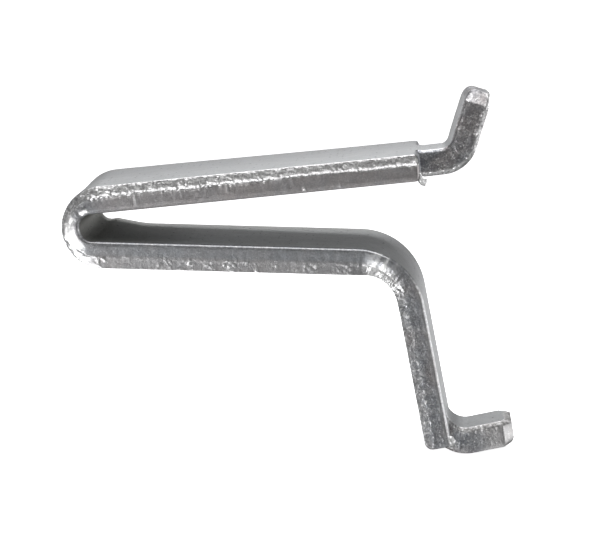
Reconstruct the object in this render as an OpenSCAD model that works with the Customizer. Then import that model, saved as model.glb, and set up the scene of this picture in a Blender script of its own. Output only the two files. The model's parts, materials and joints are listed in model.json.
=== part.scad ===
// Strip wall anchor: one flat steel strip bent into a hairpin, with a hook tongue on each end.
// The hairpin's centre is the origin. +X runs from the hairpin to the tongues, Y is the strip's
// width and +Z is up. The lower arm is parallel to X.

/* [Strip] */
// Width of the strip
strip_w = 20; // [16:1:30]
// Thickness of the strip
strip_t = 3; // [2:0.25:4]

/* [Hairpin] */
// Outer radius of the hairpin
hairpin_r = 4.6; // [4.3:0.1:6]
// Thickness left at the hairpin's apex, where the tight bend has stretched the strip
apex_t = 2; // [1.6:0.1:2.4]
// Angle between the two arms
v_angle = 7.25; // [5:0.25:12]

/* [Arms] */
// Length of the upper arm, from the hairpin to its shoulders
upper_arm_l = 36; // [28:1:44]
// Length of the lower arm, from the hairpin to the corner
lower_arm_l = 28.7; // [20:0.1:36]

/* [Leg] */
// Angle by which the leg turns down from the lower arm
leg_angle = 77.7; // [60:0.1:90]
// Outer radius of the corner
corner_r = 7.8; // [7:0.1:10]
// Inner radius of the corner
corner_inner_r = 3.8; // [2:0.1:4]
// Length of the leg, from the corner to its shoulders
leg_l = 16.4; // [12:0.1:24]

/* [Tongues] */
// Width of both tongues
tongue_w = 8; // [6:0.5:10]
// Straight run of the upper tongue, from the shoulders to its bend
upper_run = 2.7; // [1:0.1:5]
// Angle by which the upper tongue turns up
upper_turn = 68; // [45:1:90]
// Inner radius of the upper tongue's bend
upper_bend_r = 1.3; // [1:0.1:3]
// Straight length of the upper tongue, past its bend
upper_tip_l = 6.1; // [4:0.1:10]
// Angle by which the lower tongue turns out
lower_turn = 90; // [60:1:90]
// Inner radius of the lower tongue's bend
lower_bend_r = 2.4; // [1:0.1:3]
// Straight length of the lower tongue, past its bend
lower_tip_l = 4.7; // [4:0.1:10]
// How far the lower tongue's bend starts above the shoulders
lower_bend_rise = 3; // [0.5:0.1:5]
// Chamfer on the corners of each tongue's end
tip_chamfer = 1.1; // [0.3:0.1:2]
// Width of the slit cut beside the lower tongue, so that it can bend
slit_w = 0.3; // [0.2:0.1:1]

/* [Hidden] */
$fn = 96;
// Half of the gap between the arms at the hairpin's centre line
gap_r = hairpin_r - strip_t;
// Radius and centre of the hairpin's inside, which touches both arms and leaves apex_t
pull = 1 / tan(v_angle / 2);
inner_r = (gap_r * pull - (hairpin_r - apex_t)) / (pull - 1);
inner_x = -(gap_r - inner_r) * pull;
inner_z = inner_r - gap_r;
// Corner centre, and the shift of its inside from that centre, along the bisector
corner_z = -gap_r - corner_r;
corner_gap = corner_r - strip_t;
corner_shift = (corner_gap - corner_inner_r) / cos(leg_angle / 2);
steel = [0.66, 0.67, 0.68];

// Draws a side outline, in X and Z, across a width centred on the strip.
module across(width) rotate([90, 0, 0]) linear_extrude(height = width, center = true) children();

// Moves children into the upper arm's frame: X along the arm, Z out of its upper face.
module on_upper_arm() rotate([0, -v_angle, 0]) children();

// Moves children into the leg's frame: X down the leg, Z towards its outer face.
module on_leg() translate([lower_arm_l, 0, corner_z]) rotate([0, leg_angle, 0]) children();

// A wedge with its point at the origin, between two directions no more than 90 degrees apart.
module wedge(reach, from, to)
    polygon([
        [0, 0],
        reach * [cos(from), sin(from)],
        reach * 1.5 * [cos((from + to) / 2), sin((from + to) / 2)],
        reach * [cos(to), sin(to)]
    ]);

// A flat stretch of strip cut to an outline in X and Y, with its outer face at Z = 0.
module flat_strip(outline) translate([0, 0, -strip_t]) linear_extrude(height = strip_t) polygon(outline);

// The outline of a full-width stretch, and that of a tongue's end with both corners chamfered.
function rectangle(length) = [
    [0, -strip_w / 2], [length, -strip_w / 2], [length, strip_w / 2], [0, strip_w / 2]
];
function tongue_end(length) = [
    [0, -tongue_w / 2],
    [length - tip_chamfer, -tongue_w / 2],
    [length, tip_chamfer - tongue_w / 2],
    [length, tongue_w / 2 - tip_chamfer],
    [length - tip_chamfer, tongue_w / 2],
    [0, tongue_w / 2]
];

// The bend of a tongue, turning from X towards Z, with its outer face at Z = 0 where it starts.
module tongue_bend(turn, bend_r)
    translate([0, 0, bend_r]) across(tongue_w) intersection() {
        difference() {
            circle(r = bend_r + strip_t);
            circle(r = bend_r);
        }
        wedge(2 * (bend_r + strip_t), -90, turn - 90);
    }

// Moves children to the far end of a tongue's bend, with X along the tongue.
module past_bend(turn, bend_r)
    translate([0, 0, bend_r]) rotate([0, -turn, 0]) translate([0, 0, -bend_r]) children();

// Moves children to where each tongue's bend starts.
module at_upper_bend() on_upper_arm() translate([upper_arm_l + upper_run, 0, hairpin_r]) children();
module at_lower_bend() on_leg() translate([leg_l - lower_bend_rise, 0, corner_r]) children();

module upper_tongue() {
    color(steel) at_upper_bend() past_bend(upper_turn, upper_bend_r) flat_strip(tongue_end(upper_tip_l));
}

module upper_tongue_bend() {
    color(steel) at_upper_bend() tongue_bend(upper_turn, upper_bend_r);
}

module upper_arm() {
    neck_l = upper_arm_l + upper_run;
    color(steel) on_upper_arm() translate([0, 0, hairpin_r]) flat_strip([
        [0, -strip_w / 2],
        [upper_arm_l, -strip_w / 2],
        [upper_arm_l, -tongue_w / 2],
        [neck_l, -tongue_w / 2],
        [neck_l, tongue_w / 2],
        [upper_arm_l, tongue_w / 2],
        [upper_arm_l, strip_w / 2],
        [0, strip_w / 2]
    ]);
}

module spring_bend() {
    normal = [-sin(v_angle), cos(v_angle)];
    along = [cos(v_angle), sin(v_angle)];
    inner_c = [inner_x, inner_z];
    color(steel) across(strip_w) difference() {
        intersection() {
            circle(r = hairpin_r);
            union() {
                wedge(2 * hairpin_r, 90 + v_angle, 180);
                wedge(2 * hairpin_r, 180, 270);
            }
        }
        translate(inner_c) circle(r = inner_r);
        polygon([
            inner_c - [0, inner_r],
            [strip_t, -gap_r],
            gap_r * normal + strip_t * along,
            inner_c + inner_r * normal
        ]);
    }
}

module lower_arm() {
    color(steel) translate([0, 0, -gap_r]) flat_strip(rectangle(lower_arm_l));
}

module corner_bend() {
    bisector = 90 - leg_angle / 2;
    normal = [sin(leg_angle), cos(leg_angle)];
    inner_c = corner_shift * [cos(bisector), sin(bisector)];
    color(steel) translate([lower_arm_l, 0, corner_z]) across(strip_w) difference() {
        intersection() {
            circle(r = corner_r);
            wedge(2 * corner_r, 90 - leg_angle, 90);
        }
        translate(inner_c) circle(r = corner_inner_r);
        polygon([
            [0, 0],
            [0, corner_gap],
            inner_c + [0, corner_inner_r],
            inner_c + corner_inner_r * normal,
            corner_gap * normal
        ]);
    }
}

module leg() {
    notch_w = tongue_w + 2 * slit_w;
    notch_x = leg_l - lower_bend_rise;
    color(steel) on_leg() translate([0, 0, corner_r]) flat_strip([
        [0, -strip_w / 2],
        [leg_l, -strip_w / 2],
        [leg_l, -notch_w / 2],
        [notch_x, -notch_w / 2],
        [notch_x, notch_w / 2],
        [leg_l, notch_w / 2],
        [leg_l, strip_w / 2],
        [0, strip_w / 2]
    ]);
}

module lower_tongue_bend() {
    color(steel) at_lower_bend() tongue_bend(lower_turn, lower_bend_r);
}

module lower_tongue() {
    color(steel) at_lower_bend() past_bend(lower_turn, lower_bend_r) flat_strip(tongue_end(lower_tip_l));
}

upper_tongue();
upper_tongue_bend();
upper_arm();
spring_bend();
lower_arm();
corner_bend();
leg();
lower_tongue_bend();
lower_tongue();
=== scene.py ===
# Looks of the strip wall anchor: one bent, hot-dip galvanised strip, its cut edges and zinc drops.
import json
import math

import bmesh
import bpy
import numpy as np
from mathutils import Matrix, Vector, noise

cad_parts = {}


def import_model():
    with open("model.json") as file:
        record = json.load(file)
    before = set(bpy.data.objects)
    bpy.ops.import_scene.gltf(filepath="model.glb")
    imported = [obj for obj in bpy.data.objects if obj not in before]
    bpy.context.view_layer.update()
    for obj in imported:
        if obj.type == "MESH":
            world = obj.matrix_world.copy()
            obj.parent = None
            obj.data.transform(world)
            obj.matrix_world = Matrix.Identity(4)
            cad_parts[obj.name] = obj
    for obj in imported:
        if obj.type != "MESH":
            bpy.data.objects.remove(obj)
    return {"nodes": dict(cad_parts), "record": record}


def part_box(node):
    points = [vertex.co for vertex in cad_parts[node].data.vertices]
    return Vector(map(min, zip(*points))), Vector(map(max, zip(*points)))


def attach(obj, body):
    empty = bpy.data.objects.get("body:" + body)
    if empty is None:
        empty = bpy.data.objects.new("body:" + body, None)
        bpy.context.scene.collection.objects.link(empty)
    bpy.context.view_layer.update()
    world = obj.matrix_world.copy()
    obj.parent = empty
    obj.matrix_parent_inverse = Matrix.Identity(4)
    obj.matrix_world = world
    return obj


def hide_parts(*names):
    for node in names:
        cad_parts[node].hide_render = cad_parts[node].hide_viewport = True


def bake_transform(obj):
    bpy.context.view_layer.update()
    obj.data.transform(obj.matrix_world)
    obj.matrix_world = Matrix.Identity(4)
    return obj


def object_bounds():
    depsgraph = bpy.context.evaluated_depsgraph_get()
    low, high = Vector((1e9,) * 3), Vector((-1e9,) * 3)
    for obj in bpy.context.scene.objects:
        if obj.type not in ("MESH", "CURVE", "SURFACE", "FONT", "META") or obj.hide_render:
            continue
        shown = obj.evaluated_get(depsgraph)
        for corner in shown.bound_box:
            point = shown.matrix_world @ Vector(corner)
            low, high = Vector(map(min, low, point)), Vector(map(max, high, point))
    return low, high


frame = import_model()
cad_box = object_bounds()

# ---------------------------------------------------------------- sizes, in millimetres
MM = 0.001
# Places closer together than this are the same place.
NEAR = 1e-6
MOUNTS = {m["name"]: m for m in frame["record"]["mounts"]}


def node_box(node):
    """Lowest and highest corner of a CAD node, in millimetres."""
    low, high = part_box(node)
    return low / MM, high / MM


arm_low, arm_high = node_box("lower_arm")
STRIP_W = arm_high.y - arm_low.y
STRIP_T = arm_high.z - arm_low.z
LOWER_ARM_L = arm_high.x - arm_low.x
GAP_R = -arm_high.z
HAIRPIN_R = GAP_R + STRIP_T
TONGUE_W = node_box("upper_tongue")[1].y * 2

upper_axis = MOUNTS["upper_hook"]["axis"]
V_ANGLE = math.atan2(upper_axis[2], upper_axis[0])
leg_axis = MOUNTS["leg_outer_face"]["axis"]
LEG_ANGLE = math.atan2(leg_axis[0], leg_axis[2])

upper_root = Vector(MOUNTS["upper_hook"]["pos_m"]) / MM
UPPER_ARM_L = upper_root.x * math.cos(V_ANGLE) + upper_root.z * math.sin(V_ANGLE)
neck_end = node_box("upper_arm")[1].x
UPPER_RUN = (neck_end + GAP_R * math.sin(V_ANGLE)) / math.cos(V_ANGLE) - UPPER_ARM_L

# The part's other driving dimensions, which the frame doesn't hold.
APEX_T = 2.0
CORNER_R = 7.8
CORNER_INNER_R = 3.8
LEG_L = 16.4
LOWER_BEND_RISE = 3.0
UPPER_TURN = math.radians(68)
UPPER_BEND_R = 1.3
UPPER_TIP_L = 6.1
LOWER_TURN = math.radians(90)
LOWER_BEND_R = 2.4
LOWER_TIP_L = 4.7
SLIT_W = 0.3

# ---------------------------------------------------------------- the strip's path, seen from the side
# The path runs from the upper tongue's end to the lower tongue's end. Face A is on its right: the
# top of the upper arm, the bottom of the lower arm. A level of 0 is face A and 1 is face B.


class Flat:
    """A straight stretch of strip."""

    def __init__(self, length):
        self.length = length
        self.turn = 0.0

    def place(self, share, level):
        """Offsets along the heading and to its left, at a share of the stretch."""
        return share * self.length, STRIP_T * level

    def end(self):
        """Offsets of the stretch's end on face A."""
        return self.length, 0.0

    longest = property(lambda self: self.length)


class Bend:
    """A bend. turn is positive to the left. outer_r and inner_r are its face radii; the inside may be
    tighter than the outside, which thins the strip at the middle of the bend."""

    def __init__(self, turn, outer_r, inner_r):
        self.turn = turn
        self.outer_r = outer_r
        self.inner_r = inner_r
        self.length = abs(turn) * (outer_r - STRIP_T / 2)
        self.longest = abs(turn) * outer_r

    def inside(self, angle):
        """Distance of the inner face from the bend's centre, at an angle into the bend."""
        gap = self.outer_r - STRIP_T
        half = abs(self.turn) / 2
        shift = (gap - self.inner_r) / math.cos(half)
        from_end = half - np.abs(angle - half)
        line = gap / np.cos(from_end)
        off = np.abs(angle - half)
        under = np.maximum(self.inner_r ** 2 - (shift * np.sin(off)) ** 2, 0)
        circle = shift * np.cos(off) + np.sqrt(under)
        tangent = math.atan2(shift * math.sin(half), gap)
        return np.where(from_end < tangent, line, circle)

    def place(self, share, level):
        """Offsets along the heading and to its left, at a share of the bend."""
        angle = share * abs(self.turn)
        inner = self.inside(angle)
        if self.turn > 0:
            radius = self.outer_r + (inner - self.outer_r) * level
            return radius * np.sin(angle), self.outer_r - radius * np.cos(angle)
        radius = inner + (self.outer_r - inner) * level
        return radius * np.sin(angle), radius * np.cos(angle) - (self.outer_r - STRIP_T)

    def end(self):
        """Offsets of the bend's end on face A."""
        return self.place(1.0, 0.0)


def hairpin_inner_r():
    """Inside radius that leaves APEX_T at the apex and touches both arms."""
    pull = 1 / math.tan(V_ANGLE / 2)
    return (GAP_R * pull - (HAIRPIN_R - APEX_T)) / (pull - 1)


class Path:
    """Stretches of strip joined end to end, with their start points and headings."""

    def __init__(self, stretches, heading):
        self.stretches = stretches
        self.starts = []
        self.lengths = [0.0]
        x = z = 0.0
        for stretch in stretches:
            self.starts.append((x, z, heading))
            along, left = stretch.end()
            x += along * math.cos(heading) - left * math.sin(heading)
            z += along * math.sin(heading) + left * math.cos(heading)
            heading += stretch.turn
            self.lengths.append(self.lengths[-1] + stretch.length)

    def place(self, distance, level):
        """Points in X and Z for distances along the path and levels between the faces."""
        out = np.zeros((len(distance), 2))
        index = np.searchsorted(self.lengths, distance, side="right") - 1
        index = np.clip(index, 0, len(self.stretches) - 1)
        for i, stretch in enumerate(self.stretches):
            chosen = index == i
            if not chosen.any():
                continue
            share = (distance[chosen] - self.lengths[i]) / stretch.length
            along, left = stretch.place(share, level[chosen])
            x, z, heading = self.starts[i]
            out[chosen, 0] = x + along * math.cos(heading) - left * math.sin(heading)
            out[chosen, 1] = z + along * math.sin(heading) + left * math.cos(heading)
        return out


STRETCHES = [
    Flat(UPPER_TIP_L),
    Bend(-UPPER_TURN, UPPER_BEND_R + STRIP_T, UPPER_BEND_R),
    Flat(UPPER_RUN),
    Flat(UPPER_ARM_L),
    Bend(math.pi - V_ANGLE, HAIRPIN_R, hairpin_inner_r()),
    Flat(LOWER_ARM_L),
    Bend(-LEG_ANGLE, CORNER_R, CORNER_INNER_R),
    Flat(LEG_L - LOWER_BEND_RISE),
]
TONGUE_END = [Bend(LOWER_TURN, LOWER_BEND_R + STRIP_T, LOWER_BEND_R), Flat(LOWER_TIP_L)]
FIRST_HEADING = math.pi + V_ANGLE + UPPER_TURN
TONGUE_PATH = Path(STRETCHES + TONGUE_END, FIRST_HEADING)
SHOULDER_PATH = Path(STRETCHES + [Flat(LOWER_BEND_RISE)], FIRST_HEADING)
STOPS = TONGUE_PATH.lengths
UPPER_BEND_AT, NECK_AT, ARM_AT, HAIRPIN_AT, LOWER_ARM_AT, CORNER_AT, LEG_AT, NOTCH_AT = STOPS[1:9]
SHOULDER_AT = NOTCH_AT + LOWER_BEND_RISE
END_AT = STOPS[-1]
# The hairpin starts square above the origin, so its start fixes where the whole path lies.
hairpin_x, hairpin_z, _ = TONGUE_PATH.starts[4]
PATH_X = -HAIRPIN_R * math.sin(V_ANGLE) - hairpin_x
PATH_Z = HAIRPIN_R * math.cos(V_ANGLE) - hairpin_z

# ---------------------------------------------------------------- the flat blank
# STEP is the usual distance between rows of vertices. END_STEPS are the rows next to a cut end.
STEP = 0.14
END_STEPS = (0.03, 0.07, 0.12, 0.19, 0.27, 0.36, 0.46)
# The long edges lie inside the CAD's width, so that what stands out from them stays within it.
CORNER_ROUND = 0.36
FRONT_HALF = STRIP_W / 2 - 0.25
BACK_HALF = STRIP_W / 2 - 0.12
TONGUE_HALF = TONGUE_W / 2
SLIT_AT = TONGUE_HALF + SLIT_W
# The corners cut off each tongue's end: how far along the tongue they reach and how far across it.
UPPER_TIP_FACET = (1.45, 0.90)
LOWER_TIP_FACET = (1.05, 0.95)
# Cut edges from face A to face B: depth below face A, how far the metal lies inside the outline, and
# how much of it is torn rather than sheared smooth. The long edges tore next to face A.
LONG_CUT = [
    (0.00, 0.44, 0.6), (0.03, 0.40, 0.8), (0.09, 0.36, 1.0), (0.18, 0.33, 1.0), (0.30, 0.30, 1.0),
    (0.44, 0.265, 1.0), (0.58, 0.235, 1.0), (0.72, 0.20, 1.0), (0.85, 0.16, 1.0), (0.94, 0.12, 1.0),
    (1.01, 0.06, 1.0), (1.08, 0.00, 1.0), (1.16, -0.03, 0.8), (1.25, -0.01, 0.4), (1.35, 0.00, 0.1),
    (1.60, 0.00, 0.0), (1.90, 0.00, 0.0), (2.20, 0.00, 0.0), (2.45, 0.00, 0.0), (2.66, 0.01, 0.0),
    (2.76, 0.03, 0.0), (2.84, 0.065, 0.0), (2.90, 0.11, 0.0), (2.95, 0.165, 0.0), (2.98, 0.22, 0.0),
    (3.00, 0.29, 0.0),
]
# The notches and the tongues' ends were punched from the other side, so they tore next to face B.
PUNCHED_CUT = [
    (0.00, 0.36, 0.0), (0.02, 0.27, 0.0), (0.06, 0.205, 0.0), (0.12, 0.14, 0.0), (0.20, 0.085, 0.0),
    (0.30, 0.04, 0.0), (0.42, 0.01, 0.0), (0.60, 0.00, 0.0), (0.90, 0.00, 0.0), (1.20, 0.00, 0.0),
    (1.50, 0.00, 0.0), (1.80, 0.00, 0.0), (2.10, 0.00, 0.0), (2.34, 0.00, 0.1), (2.48, -0.01, 0.4),
    (2.56, -0.02, 0.9), (2.61, -0.02, 1.0), (2.66, 0.00, 1.0), (2.71, 0.03, 1.0), (2.75, 0.06, 1.0),
    (2.79, 0.10, 1.0), (2.83, 0.15, 1.0), (2.88, 0.21, 1.0), (2.93, 0.28, 0.9), (2.97, 0.35, 0.8),
    (3.00, 0.44, 0.6),
]
LAYERS = len(LONG_CUT)


def stations():
    """Distances along the blank where it has a row of vertices, closest at its ends."""
    longest = [s.longest / s.length for s in TONGUE_PATH.stretches]
    stops = sorted(set(STOPS + [SHOULDER_AT]))
    rows = []
    for a, b in zip(stops, stops[1:]):
        scale = longest[min(int(np.searchsorted(STOPS, a + NEAR)) - 1, len(longest) - 1)]
        count = max(2, round((b - a) * scale / STEP))
        rows += list(np.linspace(a, b, count + 1)[:-1])
    rows.append(END_AT)
    for edge, side in ((0.0, 1), (END_AT, -1), (ARM_AT, 1), (SHOULDER_AT, -1)):
        reach = END_STEPS[-1] + STEP / 2
        rows = [r for r in rows if r == edge or not 0 < side * (r - edge) < reach]
        rows += [edge + side * step for step in END_STEPS]
    return np.array(sorted(rows))


def columns():
    """Places across the blank where it has a column of vertices."""
    half = [0.0]
    # Each place has the distance between columns up to it, closest at the edges and the slits.
    stops = [(TONGUE_HALF - 0.6, 0.5), (TONGUE_HALF, 0.2), (SLIT_AT, 0.3), (SLIT_AT + 0.6, 0.2),
             (STRIP_W / 2 - 1.0, 0.5), (STRIP_W / 2, 0.25)]
    for stop, step in stops:
        count = max(1, round((stop - half[-1]) / step))
        half += list(np.linspace(half[-1], stop, count + 1)[1:])
    return np.array([-h for h in half[:0:-1]] + half)


ROWS, COLUMNS = stations(), columns()


def is_metal(along, across):
    """True where the blank has metal."""
    across = abs(across)
    if along < ARM_AT or along > SHOULDER_AT:
        return across < TONGUE_HALF
    if along > NOTCH_AT:
        return across < TONGUE_HALF or across > SLIT_AT
    return True


def blank():
    """The flat blank: {(row, column, layer): vertex}, its faces and the ways out at its edges."""
    inside = np.array([[is_metal((a + b) / 2, (c + d) / 2) for c, d in zip(COLUMNS, COLUMNS[1:])]
                       for a, b in zip(ROWS, ROWS[1:])])
    padded = np.pad(inside, 1)
    index, faces, outward_of = {}, [], {}

    def vertex(*key):
        return index.setdefault(key, len(index))

    top = LAYERS - 1
    for i, j in zip(*np.nonzero(inside)):
        i, j = int(i), int(j)
        ring = [(i, j), (i + 1, j), (i + 1, j + 1), (i, j + 1)]
        faces.append([vertex(a, b, 0) for a, b in ring])
        faces.append([vertex(a, b, top) for a, b in reversed(ring)])
        for side, (di, dj) in enumerate(((0, -1), (1, 0), (0, 1), (-1, 0))):
            if padded[i + 1 + di, j + 1 + dj]:
                continue
            a, b = ring[side], ring[(side + 1) % 4]
            for end in (a, b):
                outward_of.setdefault(end, set()).add((di, dj))
            for layer in range(top):
                corners = ((b, layer), (a, layer), (a, layer + 1), (b, layer + 1))
                faces.append([vertex(*place, level) for place, level in corners])
    return index, faces, outward_of


def rounded(distance, radius):
    """How far a round corner of this radius lies inside a square one, at a distance from its end."""
    d = np.clip(radius - distance, 0, radius)
    return radius - np.sqrt(np.maximum(radius ** 2 - d ** 2, 0))


def smooth(x, start, end):
    """0 before start, 1 after end, and a smooth step between them."""
    t = np.clip((x - start) / (end - start), 0, 1)
    return t * t * (3 - 2 * t)


def hump(x, start, end):
    """A smooth hump that is 1 midway between start and end and 0 outside them."""
    return np.sin(np.pi * np.clip((x - start) / (end - start), 0, 1)) ** 2


def noisy(points, scale, octaves=3, seed=0.0):
    """Fractal noise at points, about -1 to 1. scale is one number or one for each axis."""
    offset = Vector((seed * 7.31, seed * 3.77, seed * 5.13))
    scaled = np.asarray(points) * np.asarray(scale)
    return np.array([noise.fractal(Vector(p) + offset, 1.0, 2.0, octaves) for p in scaled])


class Blank:
    """The blank's vertices as arrays, in millimetres: along and across it, and depth below face A."""

    def __init__(self):
        self.index, self.faces, outward_of = blank()
        keys = np.array(list(self.index))
        self.row, self.column, self.layer = keys.T
        self.along = ROWS[self.row]
        self.across = COLUMNS[self.column].copy()
        self.count = len(keys)
        self.outward = np.zeros((self.count, 2))
        self.edge = np.zeros(self.count, bool)
        self.punched = np.zeros(self.count)
        for v, (i, j, _) in enumerate(keys.tolist()):
            sides = outward_of.get((i, j))
            if not sides:
                continue
            self.edge[v] = True
            self.outward[v] = [sum(s[0] for s in sides), sum(s[1] for s in sides)]
            long_side = abs(abs(COLUMNS[j]) - STRIP_W / 2) < NEAR
            self.punched[v] = (0.0 if len(sides) == 1 else 0.5) if long_side else 1.0
        self.long_side = np.abs(np.abs(self.across) - STRIP_W / 2) < NEAR
        self.tongue = np.abs(self.across) < TONGUE_HALF + NEAR
        self.back = self.across > 0


def cut_edges(b):
    """Gives every vertex its depth, how torn it is and how far either kind of cut moves it in."""
    long_cut, punched_cut = np.array(LONG_CUT).T, np.array(PUNCHED_CUT).T
    depth = (1 - b.punched) * long_cut[0][b.layer] + b.punched * punched_cut[0][b.layer]
    torn = (1 - b.punched) * long_cut[2][b.layer] + b.punched * punched_cut[2][b.layer]
    b.depth = np.where(b.edge, depth, np.where(b.layer == 0, 0.0, STRIP_T))
    b.torn = np.where(b.edge, torn, 0)
    near_a = long_cut[0][b.layer] < STRIP_T / 2
    flatter = 0.93 * lower_arm(b.along) + 0.97 * smooth(b.along, CORNER_AT, LEG_AT)
    b.long_inset = long_cut[1][b.layer] * np.where(near_a, 1 - flatter, 1)
    low_ridge = 0.9 * near_shoulders(b.along) * (b.long_inset < 0)
    b.long_inset = b.long_inset * np.where(b.back, 0.4, 1 - low_ridge)
    b.punched_inset = punched_cut[1][b.layer]
    b.round_end = 0.75 * np.clip(1 - b.depth, 0, 1) ** 2
    b.round_end += 0.35 * np.clip(1 - (STRIP_T - b.depth) / 0.7, 0, 1) ** 2
    b.rise = np.zeros(b.count)


def near_shoulders(along):
    """1 on the upper tongue and the first third of the upper arm, fading to 0 at the arm's middle."""
    return 1 - smooth(along, ARM_AT + 12, ARM_AT + 18)


def lower_arm(along):
    """1 on the lower arm, fading to 0 at the hairpin and the corner."""
    past_hairpin = smooth(along, HAIRPIN_AT + 6, LOWER_ARM_AT)
    return past_hairpin * (1 - smooth(along, CORNER_AT - 1, CORNER_AT + 4))


def relief(along):
    """How rough torn metal is along the strip: most on the upper arm's left half, least on the lower arm."""
    arm = smooth(along, ARM_AT - 1, ARM_AT + 1) * (1 - smooth(along, HAIRPIN_AT, HAIRPIN_AT + 3))
    turn = smooth(along, HAIRPIN_AT - 1, HAIRPIN_AT + 2) * (1 - lower_arm(along))
    turn *= along < CORNER_AT - 5
    leg = smooth(along, CORNER_AT + 4, LEG_AT) * (1 - smooth(along, SHOULDER_AT, SHOULDER_AT + 1))
    upper = 0.25 * arm * (1 - near_shoulders(along))
    return 0.75 + upper - 0.30 * turn - 0.71 * lower_arm(along) - 0.60 * leg


def ridge_beads(along, depth, punched, line):
    """Beads along the ridge between torn and sheared metal, fewer by the upper arm's shoulders."""
    ridge_at = np.where(punched > 0.5, 2.58, 1.10)
    ridge = np.exp(-((depth - ridge_at) / 0.14) ** 2)
    fewer = 0.45 * near_shoulders(along) * (1 - punched)
    beads = np.clip(noisy(line, 2.6, 2, 8.0) + 0.3, 0, 1)
    return 0.21 * ridge * beads * relief(along) ** 2 * (1 - fewer)


def torn_specks(along, points, line):
    """Specks in clusters and some between them, both rarer on the lower arm."""
    rarer = 0.12 * lower_arm(along)
    cluster = smooth(noisy(line, 0.9, 2, 9.0), rarer - 0.18, rarer + 0.02)
    between = 0.35 - 0.28 * lower_arm(along)
    speck = np.clip((noisy(points, (4.2, 4.2, 3.2), 2, 11.0) - 0.18) * 4, 0, 1)
    return speck * (between + (1 - between) * cluster)


def rolled_rim(along, depth, punched, line):
    """A thin broken roll of metal next to face B, from the hairpin to the leg's shoulders."""
    lower = smooth(along, HAIRPIN_AT + 3, HAIRPIN_AT + 6) * (1 - punched)
    broken = np.clip(noisy(line, 3.2, 2, 14.0) + 0.15, 0, 1)
    return np.exp(-((depth - 2.83) / 0.10) ** 2) * broken * lower


def rough_edges(b):
    """Roughens the torn metal, strings beads along its ridge and lets the ridge wander."""
    edge = b.edge
    along, depth, torn, punched = b.along[edge], b.depth[edge], b.torn[edge], b.punched[edge]
    points = np.c_[b.along, b.across, b.depth][edge]
    beside = np.where(np.abs(b.across) > TONGUE_HALF, np.sign(b.across) * STRIP_W / 2, b.across)
    line = np.c_[b.along, beside, np.zeros(b.count)][edge]
    rough = relief(along)
    strength = np.clip(0.55 + 0.9 * noisy(line, 0.3, 2, 7.0), 0.1, 1.4)
    lumps = noisy(points, (1.3, 1.3, 2.2), 2, 2.0)
    crumbs = noisy(points, (4.0, 4.0, 5.0), 2, 3.0)
    streaks = noisy(points, (3.2, 3.2, 0.5), 2, 12.0)
    beads = strength * ridge_beads(along, depth, punched, line)
    specks = torn * torn_specks(along, points, line)
    roll = rolled_rim(along, depth, punched, line)

    out = torn * rough * (0.075 * lumps + 0.09 * crumbs) * (0.5 + 0.5 * strength) + beads
    out += 0.07 * specks * np.clip(rough, 0.22 + 0.2 * lower_arm(along), 1)
    out += (1 - torn) * 0.008 * noisy(points, 1.2, 2, 4.0)
    bends = hump(along, CORNER_AT - 1, LEG_AT) + 0.3 * hump(along, HAIRPIN_AT, LOWER_ARM_AT)
    out += (0.006 + 0.045 * bends) * streaks * np.clip(1.2 - depth / STRIP_T, 0, 1)
    out += (0.07 + 0.04 * bends) * roll
    b.rise[edge] = out
    wander = 0.65 * noisy(line, 0.35, 2, 1.0) + 0.5 * noisy(line, 1.6, 2, 1.5)
    middle = np.clip(1 - np.abs(depth - STRIP_T / 2) / (STRIP_T / 2), 0, 1)
    wander *= 0.2 * np.sqrt(middle) * np.clip(torn + 0.25, 0, 1)
    b.depth[edge] = np.clip(depth + wander, 0, STRIP_T)

    # Shiny zinc and painted glints: flash paints the corner's streaky glints, and the share set below
    # whitens beads, specks, the rolled rim, the lower tongue's sheared edges and the leg's edge next to face
    # B.
    flash = hump(along, CORNER_AT + 0.6, CORNER_AT + 5.0) * np.clip(2.2 * streaks + 0.45, 0, 1)
    shiny = beads * 7 + specks * np.clip(rough + 0.7, 0, 1) + roll + flash
    calm = 0.6 * (along > SHOULDER_AT + 0.8) + 0.5 * near_shoulders(along) * (1 - punched)
    leg = smooth(along, CORNER_AT + 4, LEG_AT) * (along < SHOULDER_AT + 0.5)
    b.bright = np.zeros(b.count)
    b.bright[edge] = np.clip(shiny, 0, 1) * (1 - calm)
    b.bright[edge] += 0.45 * smooth(along, SHOULDER_AT + 2, SHOULDER_AT + 6) * (1 - torn)
    b.bright[edge] += 0.35 * leg * smooth(depth, 2.2, 2.6) * (1 - punched)
    b.torn[edge] = torn * np.clip(0.15 + 0.85 * rough, 0, 1) * (1 - 0.7 * leg * smooth(depth, 0.3, 1.2))


def hammered(b):
    """The front edge at the bottom of the hairpin is hammered smooth and slopes back towards face A."""
    zone = smooth(b.along, HAIRPIN_AT + 3.3, HAIRPIN_AT + 4.3)
    zone *= 1 - smooth(b.along, LOWER_ARM_AT - 3.2, LOWER_ARM_AT - 1.6)
    zone = zone * ~b.back
    share = b.depth / STRIP_T
    slope = 0.36 * np.clip(0.70 - share, 0, 1) + 0.05 * (1 - smooth(b.depth, 0.0, 0.6))
    rim = smooth(b.depth, 0.25, 0.75)
    b.rise = b.rise * (1 + 1.3 * zone * (1 - rim) - zone * rim * smooth(0.95 - share, 0, 0.2))
    b.long_inset = b.long_inset * (1 - zone * smooth(0.9 - share, 0, 0.2)) + zone * slope
    b.torn = b.torn * (1 - zone * rim)
    # Shiny hammered zinc and a painted highlight: the middle of the slope is whitened.
    b.bright = np.maximum(b.bright, 0.9 * zone * rim * smooth(0.8 - share, 0, 0.3) * b.edge)


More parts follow.
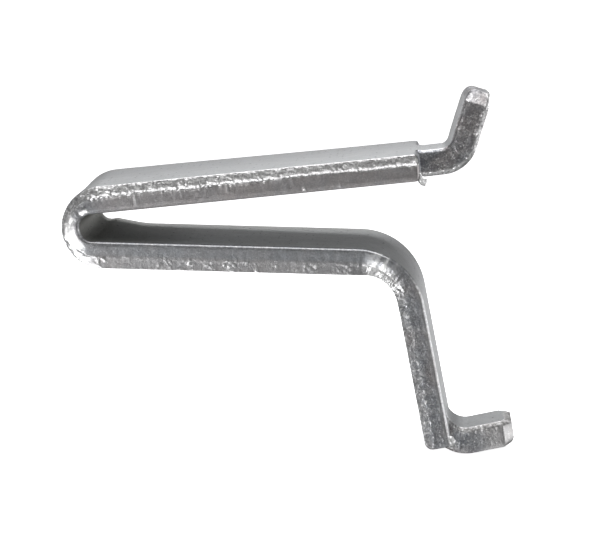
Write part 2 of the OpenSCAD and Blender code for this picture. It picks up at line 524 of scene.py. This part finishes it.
# Raised marks on the front edge: distance along, depth, half length, half height and how far they rise.
MARKS = [
    (HAIRPIN_AT - 4.1, 1.8, 0.07, 0.55, 0.03),
    (HAIRPIN_AT - 9.3, 1.75, 0.10, 0.15, 0.05), (HAIRPIN_AT - 14.5, 1.7, 0.09, 0.30, 0.04),
    (HAIRPIN_AT - 23.1, 2.65, 0.10, 0.20, 0.06), (HAIRPIN_AT - 27.0, 2.6, 0.08, 0.25, 0.03),
]


def marks(b):
    """Short raised lines and small lumps of zinc on the front edge."""
    front = b.edge & b.long_side & ~b.back
    for along, depth, length, height, rise in MARKS:
        lump = np.exp(-((b.along - along) / length) ** 2 - ((b.depth - depth) / height) ** 2) * front
        b.rise += rise * lump
        # Shiny zinc and a painted glint on each mark.
        b.bright = np.maximum(b.bright, lump)


def flat_bead(b):
    """A bead of zinc inside the top of the hairpin, hammered flat so that it slopes down and left."""
    front = b.edge & b.long_side & ~b.back
    along, depth = b.along - (HAIRPIN_AT + 2.4), b.depth - 2.35
    bead = smooth(0.68 - np.abs(along), 0, 0.15) * smooth(0.40 - np.abs(depth), 0, 0.12) * front
    b.rise += bead * (0.04 - 0.21 * along)
    # Shiny zinc and a painted highlight on the bead.
    b.bright = np.maximum(b.bright, bead)


def pull(distance, inset, reach=1.5):
    """How far a cut moves a vertex in, at a distance from the cut. Beyond its reach nothing moves."""
    return np.where(distance < -NEAR, 0, inset * np.clip(1 - distance / reach, 0, 1))


def outline(b):
    """Rounds the strip's corners, cuts the tongues' corners off and gives the cut edges their shape."""
    wide = (b.along > ARM_AT - NEAR) & (b.along < SHOULDER_AT + NEAR)
    past_notch = b.along > NOTCH_AT - NEAR
    away, side = np.abs(b.across), np.sign(b.across)
    ear = away > SLIT_AT - NEAR
    corner = rounded(np.clip(np.minimum(b.along - ARM_AT, SHOULDER_AT - b.along), 0, 99), CORNER_ROUND)
    half = np.where(b.back, BACK_HALF, FRONT_HALF) - corner * b.long_side
    inward = np.where(wide, pull(STRIP_W / 2 - away, b.long_inset + STRIP_W / 2 - half), 0)
    narrow = b.tongue & ((b.along < ARM_AT + NEAR) | past_notch)
    inward += np.where(narrow, pull(TONGUE_HALF - away, b.punched_inset, 1.2), 0)
    inward -= np.where(ear & past_notch, pull(away - SLIT_AT, b.punched_inset, 1.2), 0)

    onward = np.where(b.tongue, pull(b.along, b.punched_inset + b.round_end), 0)
    onward -= np.where(b.tongue, pull(END_AT - b.along, b.punched_inset + b.round_end), 0)
    wing = wide & (away > TONGUE_HALF - NEAR)
    onward += np.where(wing, pull(b.along - ARM_AT, b.punched_inset), 0)
    onward -= np.where(wing & ear, pull(SHOULDER_AT - b.along, b.punched_inset + 0.6 * b.round_end), 0)
    for end, (length, cut) in ((b.along, UPPER_TIP_FACET), (END_AT - b.along, LOWER_TIP_FACET)):
        inward += np.where(end < length, away * (1 - np.clip(end / length, 0, 1)) * cut / TONGUE_HALF, 0)
    b.along = b.along + onward + b.outward[:, 0] * b.rise
    b.across = b.across - side * inward + b.outward[:, 1] * b.rise


def zinc_skin(b):
    """The zinc on the faces is never quite flat."""
    points = np.c_[b.along, b.across, b.layer * 0.5]
    face = ~b.edge
    skin = np.zeros(b.count)
    skin[face] = 0.014 * noisy(points[face], 0.45, 3, 5.0) + 0.006 * noisy(points[face], 1.8, 2, 6.0)
    b.depth = b.depth + np.where(b.layer == 0, -skin, skin)


def bend_bulges(b):
    """A bend pushes the metal at its inside out at both edges and draws it in at its outside."""
    share = np.clip(b.depth / STRIP_T, 0, 1)
    hairpin = hump(b.along, HAIRPIN_AT - 1.2, LOWER_ARM_AT + 1.2)
    middle = CORNER_AT + 0.40 * (LEG_AT - CORNER_AT)
    corner = hump(b.along, middle - 3.2, middle + 3.2)
    out = hairpin * (0.10 - 0.22 * (1 - share) ** 1.5)
    out += corner * (0.29 - 0.62 * np.clip(0.65 - share, 0, 1))
    near = np.clip((np.abs(b.across) - STRIP_W / 2 + 2.5) / 2.3, 0, 1) ** 2
    out = np.where(b.back, np.minimum(out, 0) + 0.3 * np.maximum(out, 0), out)
    b.across = np.clip(b.across + np.sign(b.across) * near * out, -STRIP_W / 2, STRIP_W / 2)


def small_errors(b):
    """The real bends are a little out of square. Positive lean is towards face B."""
    tip = 1 - smooth(b.along, UPPER_BEND_AT, NECK_AT)
    lean = -0.30 * smooth(b.across, -TONGUE_HALF, TONGUE_HALF) * tip
    lean += 0.10 * (1 - smooth(b.along, ARM_AT - 0.5, ARM_AT))
    lean += 0.10 * smooth(b.along, SHOULDER_AT, END_AT - 2) - 0.08 * hump(b.along, 0, NECK_AT + 2)
    to_back = smooth(b.across, -2, STRIP_W / 2)
    share = b.depth / STRIP_T
    arm = smooth(b.along, ARM_AT + 4, HAIRPIN_AT) * (1 - smooth(b.along, HAIRPIN_AT + 1, HAIRPIN_AT + 6))
    lean -= 0.18 * arm * to_back * (1 - share)
    turn = hump(b.along, HAIRPIN_AT + 1.5, LOWER_ARM_AT + 4)
    lean += 0.64 * turn * to_back * share
    leg = smooth(b.along, CORNER_AT, LEG_AT + 2) * (1 - smooth(b.along, SHOULDER_AT, SHOULDER_AT + 2))
    lean += 0.12 * leg * (1 - share)
    b.depth = b.depth + lean


def bend(b):
    """Bends the blank into shape and gives its points in millimetres."""
    inside = np.clip(b.along, 0, END_AT)
    share = b.depth / STRIP_T
    tongue = TONGUE_PATH.place(inside, share)
    shoulder = SHOULDER_PATH.place(np.minimum(inside, SHOULDER_AT), share)
    # Metal that stands out past an end of the path runs straight on.
    for path_end, over in ((0, np.minimum(b.along, 0)), (-1, np.maximum(b.along - END_AT, 0))):
        heading = TONGUE_PATH.starts[path_end][2]
        tongue += np.c_[over * math.cos(heading), over * math.sin(heading)]
    ear = ~b.tongue & (b.along > NOTCH_AT)
    side = np.where(ear[:, None], shoulder, tongue)
    return np.c_[side[:, 0] + PATH_X, b.across, side[:, 1] + PATH_Z]


def strip_mesh():
    """The whole strip as one closed mesh."""
    b = Blank()
    cut_edges(b)
    flat = np.c_[b.along, b.across, b.depth]
    rough_edges(b)
    hammered(b)
    marks(b)
    flat_bead(b)
    outline(b)
    zinc_skin(b)
    bend_bulges(b)
    small_errors(b)
    mesh = bpy.data.meshes.new("galvanised_strip")
    mesh.from_pydata((bend(b) * MM).tolist(), [], b.faces)
    mesh.polygons.foreach_set("use_smooth", [True] * len(b.faces))
    add_attribute(mesh, "torn", b.torn)
    # White for shiny zinc and painted glints and highlights.
    add_attribute(mesh, "bright", b.bright)
    add_attribute(mesh, "mottle", mottled(b))
    add_attribute(mesh, "warm", warmer(b))
    # Painted shade: face A of the upper tongue and the upper arm turns darker towards the back edge.
    painted_back_shade = smooth(flat[:, 1], -6, STRIP_W / 2) * (b.along < HAIRPIN_AT + 2) * (b.layer == 0)
    add_attribute(mesh, "painted_back_shade", painted_back_shade)
    # Painted shade on face B inside the hairpin, and grime in the lower tongue's torn metal.
    add_attribute(mesh, "painted_shade_and_grime", painted_shade_and_grime_share(b, flat[:, 1]))
    rim = np.where((b.layer > 0) & (b.layer < LAYERS - 1), 1, 0.5)
    add_attribute(mesh, "edge", np.where(b.edge, rim, 0))
    add_place(mesh, flat)
    mesh.update()
    return mesh


def mottled(b):
    """How mottled the cut edges are: most on the leg and the upper tongue, some at the hairpin."""
    mottle = 0.25 + 0.75 * smooth(b.along, CORNER_AT + 2, LEG_AT) + 0.75 * (b.along < ARM_AT)
    mottle += 0.5 * hump(b.along, HAIRPIN_AT - 3, LOWER_ARM_AT + 3)
    return np.clip(mottle, 0, 1)


def warmer(b):
    """How warm the cut edges' grey is: most on the upper arm and on the lower tongue."""
    warmth = (1 - smooth(b.along, HAIRPIN_AT - 2, HAIRPIN_AT + 1)) * (1 - b.punched)
    warmth += 0.6 * lower_arm(b.along) * (b.depth < STRIP_T / 2)
    warmth += 1.5 * smooth(b.along, SHOULDER_AT, SHOULDER_AT + 4)
    return warmth * b.edge


def painted_shade_and_grime_share(b, across):
    """How much painted shade and grime the metal has: painted shade on face B from the hairpin on and
    towards the lower arm's back edge, and grime in the lower tongue's torn metal.
    """
    inside = smooth(b.along, HAIRPIN_AT - 1, HAIRPIN_AT + 3)
    inside *= 1 - smooth(b.along, LOWER_ARM_AT, LOWER_ARM_AT + 14)
    inside = 0.75 * inside + 0.25 * hump(b.along, HAIRPIN_AT - 2, LOWER_ARM_AT + 1)
    # Painted shade: face B of the lower arm darker towards its back edge.
    inside = np.maximum(inside, 0.8 * smooth(across, 4, STRIP_W / 2) * lower_arm(b.along))
    grubby = b.torn * b.edge * (b.along > SHOULDER_AT + 0.8)
    return inside * (b.depth > STRIP_T * 0.9) * ~b.edge + grubby


def add_attribute(mesh, name, values):
    """Gives every vertex a number that the material reads."""
    attribute = mesh.attributes.new(name, "FLOAT", "POINT")
    attribute.data.foreach_set("value", np.asarray(values, np.float32))


def add_place(mesh, points):
    """Gives every vertex the place that its textures are laid out by, in millimetres."""
    place = mesh.attributes.new("flat", "FLOAT_VECTOR", "POINT")
    place.data.foreach_set("vector", points.astype(np.float32).ravel())


# ---------------------------------------------------------------- materials
FACE_DARK, FACE_LIGHT = (0.50, 0.51, 0.52, 1), (0.58, 0.59, 0.60, 1)
# Painted shade: the first colour darkens face A towards the upper arm's back edge, the second darkens face B
# inside the hairpin and the lower arm.
FACE_PAINTED_BACK_SHADE, FACE_PAINTED_SHADE, FACE_SAND = (0.30, 0.30, 0.31, 1), (0.225, 0.225, 0.21, 1), (0.28, 0.28, 0.29, 1)
COOL_DARK, COOL_LIGHT = (0.30, 0.315, 0.345, 1), (0.60, 0.615, 0.64, 1)
WARM_DARK, WARM_LIGHT = (0.35, 0.32, 0.32, 1), (0.62, 0.595, 0.59, 1)
COOL_EVEN, WARM_EVEN = (0.44, 0.455, 0.475, 1), (0.48, 0.455, 0.45, 1)
EDGE_PATCH, EDGE_SAND = (0.27, 0.265, 0.29, 1), (0.20, 0.20, 0.21, 1)
TORN_DARK, TORN_LIGHT = (0.44, 0.43, 0.44, 1), (0.80, 0.80, 0.79, 1)
# The first colour on the next line is white for shiny zinc and painted glints and highlights.
SHINE_AND_GLINT_WHITE, DIRT, PIT = (0.92, 0.92, 0.92, 1), (0.11, 0.105, 0.10, 1), (0.13, 0.13, 0.14, 1)


class Nodes:
    """Short ways to add and link the nodes of one material."""

    def __init__(self, material):
        material.use_nodes = True
        self.tree = material.node_tree
        self.tree.nodes.clear()

    def add(self, kind, inputs=None, **settings):
        """A new node with its settings, and its inputs set or linked."""
        node = self.tree.nodes.new(kind)
        for name, value in settings.items():
            setattr(node, name, value)
        for name, value in (inputs or {}).items():
            socket = node.inputs[name]
            if isinstance(value, bpy.types.NodeSocket):
                self.tree.links.new(value, socket)
            else:
                socket.default_value = value
        return node

    def attribute(self, name, output="Fac"):
        """What the mesh says at each place."""
        return self.add("ShaderNodeAttribute", attribute_name=name).outputs[output]

    def noise(self, vector, scale, detail, roughness):
        """Noise from 0 to 1."""
        node = self.add("ShaderNodeTexNoise", {"Vector": vector, "Scale": scale, "Detail": detail,
                                               "Roughness": roughness})
        return node.outputs["Fac"]

    def maths(self, operation, a, b=0.0, clamp=False):
        """One operation on two values."""
        node = self.add("ShaderNodeMath", {0: a, 1: b}, operation=operation, use_clamp=clamp)
        return node.outputs[0]

    def times(self, a, b):
        """The product of two values."""
        return self.maths("MULTIPLY", a, b)

    def plus(self, a, b):
        """The sum of two values."""
        return self.maths("ADD", a, b)

    def stretch(self, vector, scale):
        """A vector scaled along each axis."""
        node = self.add("ShaderNodeVectorMath", {0: vector, 1: scale}, operation="MULTIPLY")
        return node.outputs["Vector"]

    def ramp(self, value, low, high, to_low=0.0, to_high=1.0):
        """A value taken from one range to another and held at its ends."""
        node = self.add("ShaderNodeMapRange", {"Value": value, "From Min": low, "From Max": high,
                                               "To Min": to_low, "To Max": to_high})
        return node.outputs["Result"]

    def mix(self, share, a, b):
        """Colour a with a share of colour b."""
        node = self.add("ShaderNodeMix", {0: share, 6: a, 7: b}, data_type="RGBA")
        return node.outputs[2]


class Zinc(Nodes):
    """Nodes of the galvanised steel: what its mesh says, and the noise that several looks share."""

    def __init__(self, material):
        super().__init__(material)
        self.flat = self.attribute("flat", "Vector")
        self.torn = self.attribute("torn")
        self.edge = self.attribute("edge")
        self.painted_shade_and_grime = self.attribute("painted_shade_and_grime")
        self.mottle = self.attribute("mottle")
        self.cloud = self.noise(self.flat, 0.45, 4, 0.55)
        self.blotch = self.noise(self.flat, 1.4, 3, 0.55)
        self.sand = self.noise(self.flat, 4.5, 2, 0.5)
        crumb = self.noise(self.stretch(self.flat, (0.6, 1.0, 1.0)), 3.0, 3, 0.6)
        self.crumb = self.times(self.plus(crumb, self.sand), 0.5)


def face_colour(n):
    """Dull grey zinc on the strip's two faces, with painted shade towards the upper arm's back edge and on
    face B inside the hairpin and the lower arm.
    """
    colour = n.mix(n.ramp(n.cloud, 0.3, 0.7), FACE_DARK, FACE_LIGHT)
    # Painted shade towards the back edge of face A.
    colour = n.mix(n.times(n.attribute("painted_back_shade"), 0.5), colour, FACE_PAINTED_BACK_SHADE)
    # Painted shade on face B inside the hairpin and the lower arm.
    colour = n.mix(n.painted_shade_and_grime, colour, FACE_PAINTED_SHADE)
    return n.mix(n.ramp(n.sand, 0.40, 0.62, 0.0, 0.24), colour, FACE_SAND)


def edge_colour(n):
    """Zinc on sheared metal: an even grey, or cool and warm blotches where it is mottled."""
    cool = n.mix(n.ramp(n.blotch, 0.35, 0.65), COOL_DARK, COOL_LIGHT)
    warm = n.mix(n.ramp(n.blotch, 0.35, 0.65), WARM_DARK, WARM_LIGHT)
    tint = n.noise(n.flat, 0.30, 2, 0.5)
    blotches = n.mix(n.ramp(tint, 0.42, 0.62), cool, warm)
    even = n.mix(n.attribute("warm"), COOL_EVEN, WARM_EVEN)
    colour = n.mix(n.mottle, even, blotches)
    patch = n.times(n.ramp(n.cloud, 0.48, 0.66, 0.0, 0.45), n.mottle)
    colour = n.mix(patch, colour, EDGE_PATCH)
    fine = n.times(n.ramp(n.sand, 0.38, 0.62), n.ramp(n.mottle, 0.25, 1.0, 0.35, 0.65))
    return n.mix(fine, colour, EDGE_SAND)


def painted_glint_specks(n):
    """Where painted glints are: small white specks on the cut edges, in clusters."""
    speckle = n.plus(n.noise(n.flat, 4.8, 2, 0.5), n.times(n.torn, 0.13))
    lively = n.maths("ADD", n.mottle, n.torn, clamp=True)
    specks = n.times(n.ramp(speckle, 0.58, 0.66), n.ramp(lively, 0.25, 1.0, 0.3, 0.8))
    clusters = n.ramp(n.noise(n.flat, 0.7, 2, 0.5), 0.40, 0.58, 0.35, 1.0)
    return n.times(n.times(specks, clusters), n.edge)


def pits(n):
    """Where the faces have small pits, a little longer across the strip than along it."""
    place = n.stretch(n.flat, (1.0, 0.60, 1.0))
    cells = n.add("ShaderNodeTexVoronoi", {"Vector": place, "Scale": 1.3}, voronoi_dimensions="2D")
    chosen = n.add("ShaderNodeSeparateColor", {"Color": cells.outputs["Color"]}).outputs["Red"]
    size = n.ramp(chosen, 0.60, 1.0, 0.0, 0.19)
    pit = n.ramp(n.maths("SUBTRACT", size, cells.outputs["Distance"]), 0.0, 0.05)
    return n.times(pit, n.maths("SUBTRACT", 1.0, n.edge))


def surface_colour(n, pit):
    """The whole strip's colour."""
    colour = n.mix(n.edge, face_colour(n), edge_colour(n))
    colour = n.mix(n.torn, colour, n.mix(n.ramp(n.crumb, 0.42, 0.58), TORN_DARK, TORN_LIGHT))
    # Painted glints: white specks on the cut edges.
    colour = n.mix(painted_glint_specks(n), colour, SHINE_AND_GLINT_WHITE)
    dirt = n.times(n.times(n.painted_shade_and_grime, n.edge), n.ramp(n.crumb, 0.45, 0.54, 0.25, 1.0))
    colour = n.mix(dirt, colour, DIRT)
    # Shiny zinc and painted glints and highlights, whitened.
    colour = n.mix(n.attribute("bright"), colour, SHINE_AND_GLINT_WHITE)
    return n.mix(n.times(pit, 0.85), colour, PIT)


def surface_height(n, pit):
    """The whole strip's fine relief, as a share of the bump's distance."""
    height = n.times(n.blotch, n.ramp(n.mottle, 0.0, 1.0, 0.08, 0.50))
    height = n.plus(height, n.times(n.noise(n.flat, 7.0, 2, 0.5), 0.05))
    height = n.plus(height, n.times(n.times(n.noise(n.flat, 2.6, 3, 0.55), n.torn), 0.5))
    height = n.plus(height, n.times(n.sand, n.ramp(n.torn, 0.0, 1.0, 0.03, 0.42)))
    return n.maths("SUBTRACT", height, n.times(pit, 0.4))


def galvanised():
    """Zinc on rolled and cut steel: dull grey faces with pits, mottled cut edges, rough torn metal."""
    material = bpy.data.materials.new("galvanised_zinc")
    n = Zinc(material)
    pit = pits(n)
    rough = n.ramp(n.noise(n.flat, 2.0, 3, 0.6), 0.3, 0.7, 0.36, 0.46)
    rough = n.plus(rough, n.times(n.edge, -0.03))
    rough = n.plus(rough, n.times(n.painted_shade_and_grime, 0.22))
    bump = n.add("ShaderNodeBump", {"Height": surface_height(n, pit), "Distance": 0.12 * MM,
                                    "Strength": 0.9})
    shader = n.add("ShaderNodeBsdfPrincipled", {"Base Color": surface_colour(n, pit), "Roughness": rough,
                                                "Metallic": 0.90, "Normal": bump.outputs["Normal"]})
    n.add("ShaderNodeOutputMaterial", {"Surface": shader.outputs["BSDF"]})
    return material


# ---------------------------------------------------------------- the object
def add_object(name, mesh, material):
    """A mesh object with its material."""
    mesh.materials.append(material)
    piece = bpy.data.objects.new(name, mesh)
    bpy.context.scene.collection.objects.link(piece)
    return piece


def on_arm(along, up, across):
    """A point in metres: along the upper arm from the hairpin's centre, up from that line and across."""
    c, s = math.cos(V_ANGLE), math.sin(V_ANGLE)
    return Vector((along * c - up * s, across, along * s + up * c)) * MM


def on_leg(down, out, across):
    """A point in metres: down the leg from the corner's centre, out from that line and across."""
    c, s = math.cos(LEG_ANGLE), math.sin(LEG_ANGLE)
    centre = Vector((arm_high.x, 0, -GAP_R - CORNER_R))
    return (centre + Vector((down * c + out * s, across, out * c - down * s))) * MM


def zinc_drop(name, balls, body):
    """A frozen drop of zinc: balls, given as centre and radius, run together into one closed surface."""
    mesh = bpy.data.meshes.new(name)
    build = bmesh.new()
    for centre, radius in balls:
        spot = Matrix.Translation(centre)
        bmesh.ops.create_icosphere(build, subdivisions=3, radius=radius * MM, matrix=spot)
    build.to_mesh(mesh)
    build.free()
    piece = add_object(name, mesh, ZINC)
    remesh = piece.modifiers.new("join", "REMESH")
    remesh.mode = "VOXEL"
    remesh.voxel_size = 0.045 * MM
    ease = piece.modifiers.new("ease", "SMOOTH")
    ease.iterations = 6
    evaluated = piece.evaluated_get(bpy.context.evaluated_depsgraph_get())
    piece.data = bpy.data.meshes.new_from_object(evaluated)
    piece.modifiers.clear()
    drop = piece.data
    drop.polygons.foreach_set("use_smooth", [True] * len(drop.polygons))
    points = np.array([v.co / MM for v in drop.vertices])
    add_place(drop, points)
    add_attribute(drop, "edge", np.ones(len(points)))
    # Shiny zinc and a painted highlight whiten the drops; they also get some dulling and grime.
    add_attribute(drop, "bright", np.full(len(points), 0.85))
    add_attribute(drop, "painted_shade_and_grime", np.full(len(points), 0.5))
    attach(piece, body)


ZINC = galvanised()
strip = add_object("galvanised_strip", strip_mesh(), ZINC)
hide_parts(*sorted(frame["nodes"]))
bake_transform(strip)

# The drip hangs at the upper arm's front shoulder, and the drop sits at the leg's front shoulder.
zinc_drop("zinc_drip", [
    (on_arm(36.03, 2.30, -9.15), 0.20), (on_arm(36.02, 1.95, -9.10), 0.27),
    (on_arm(36.08, 1.62, -9.00), 0.36), (on_arm(36.22, 1.36, -8.92), 0.33),
    (on_arm(36.36, 1.18, -8.85), 0.24), (on_arm(36.50, 1.45, -8.85), 0.24),
    (on_arm(36.60, 1.66, -8.85), 0.19),
], "free_arm")
zinc_drop("zinc_drop", [
    (on_leg(15.62, 7.86, -9.42), 0.42), (on_leg(15.88, 7.90, -9.42), 0.46),
    (on_leg(16.08, 7.86, -9.35), 0.38),
], "leg_side")

# ---------------------------------------------------------------- camera, floor and light
# Distances are in metres, and the lens and its sensor in millimetres.
CAMERA_AZIMUTH, CAMERA_ELEVATION, CAMERA_ROLL = (math.radians(a) for a in (2.49, 7.62, 1.25))
CAMERA_DISTANCE, CAMERA_LENS, SENSOR = 0.3234, 167.3, 36.0
AIM_RIGHT, AIM_UP, AIM_RAISE = 0.0219, -0.0050, -0.0016


def camera():
    """A long lens where the photograph's camera stood, aimed at the middle of the part."""
    a, e = CAMERA_AZIMUTH, CAMERA_ELEVATION
    back = Vector((math.sin(a) * math.cos(e), -math.cos(a) * math.cos(e), math.sin(e)))
    right = Vector((math.cos(a), math.sin(a), 0))
    up = back.cross(right)
    c, s = math.cos(CAMERA_ROLL), math.sin(CAMERA_ROLL)
    right, up = c * right + s * up, c * up - s * right
    data = bpy.data.cameras.new("camera")
    data.lens, data.sensor_width, data.clip_start = CAMERA_LENS, SENSOR, 0.01
    camera_object = bpy.data.objects.new("camera", data)
    bpy.context.scene.collection.objects.link(camera_object)
    place = AIM_RIGHT * right + AIM_UP * up + Vector((0, 0, AIM_RAISE)) + CAMERA_DISTANCE * back
    rows = [(right[i], up[i], back[i], place[i]) for i in range(3)]
    camera_object.matrix_world = Matrix(rows + [(0, 0, 0, 1)])
    bpy.context.scene.camera = camera_object


def floor():
    """White floor, left out of reflections so that the metal shows only the studio."""
    mesh = bpy.data.meshes.new("floor")
    reach, level = 3.0, cad_box[0].z - 0.0001
    corners = [(x * reach, y * reach, level) for x, y in ((-1, -1), (1, -1), (1, 1), (-1, 1))]
    mesh.from_pydata(corners, [], [(0, 1, 2, 3)])
    material = bpy.data.materials.new("white_floor")
    n = Nodes(material)
    shader = n.add("ShaderNodeBsdfPrincipled", {"Base Color": (0.9, 0.9, 0.9, 1), "Roughness": 0.9,
                                                "Emission Color": (1, 1, 1, 1),
                                                "Emission Strength": 0.85})
    n.add("ShaderNodeOutputMaterial", {"Surface": shader.outputs["BSDF"]})
    piece = add_object("floor", mesh, material)
    piece.visible_glossy = False


# Softboxes: direction, degrees from its middle to where it is full and to where it ends, strength.
SOFTBOXES = [
    ((-0.43, -0.86, -0.36), 7, 15, 8.0),
    ((0.0, -0.50, 0.87), 12, 30, 2.3),
    ((0.0, 0.0, 1.0), 10, 35, 0.6),
    ((0.0, 0.97, 0.20), 15, 45, 0.21),
    ((-1.0, -0.2, 0.1), 10, 30, 0.65),
    ((0.77, 0.63, -0.05), 10, 26, 2.8),
    ((-0.77, 0.63, 0.10), 10, 28, 1.5),
    ((0.93, -0.35, -0.05), 12, 32, 1.6),
    ((0.0, -0.35, -0.94), 15, 45, 0.6),
    ((0.0, -1.0, -0.1), 20, 60, 0.06),
]
ROOM = 0.04


def world():
    """A dim room with softboxes all round, of which the brightest is small and low at the front left."""
    scene_world = bpy.data.worlds.new("studio")
    bpy.context.scene.world = scene_world
    n = Nodes(scene_world)
    direction = n.add("ShaderNodeTexCoord").outputs["Generated"]
    total = ROOM
    for middle, full, end, strength in SOFTBOXES:
        aim = Vector(middle).normalized()
        dot = n.add("ShaderNodeVectorMath", {0: direction, 1: aim},
                    operation="DOT_PRODUCT").outputs["Value"]
        near, far = math.cos(math.radians(full)), math.cos(math.radians(end))
        share = n.add("ShaderNodeMapRange", {"Value": dot, "From Min": far, "From Max": near},
                      interpolation_type="SMOOTHSTEP").outputs["Result"]
        total = n.plus(total, n.times(share, strength))
    shade = n.add("ShaderNodeBackground", {"Color": (1, 1, 1, 1), "Strength": total})
    n.add("ShaderNodeOutputWorld", {"Surface": shade.outputs["Background"]})


def top_light():
    """A square softbox close above and behind the part."""
    data = bpy.data.lights.new("top_softbox", "AREA")
    data.size = 0.14
    data.energy = 0.32
    lamp = bpy.data.objects.new("top_softbox", data)
    place = Vector((0.02, 0.08, 0.165))
    lamp.location = place
    lamp.rotation_euler = (place - Vector((0.02, 0, 0))).to_track_quat("Z", "Y").to_euler()
    bpy.context.scene.collection.objects.link(lamp)


camera()
floor()
world()
top_light()
bpy.context.scene.view_settings.view_transform = "Standard"
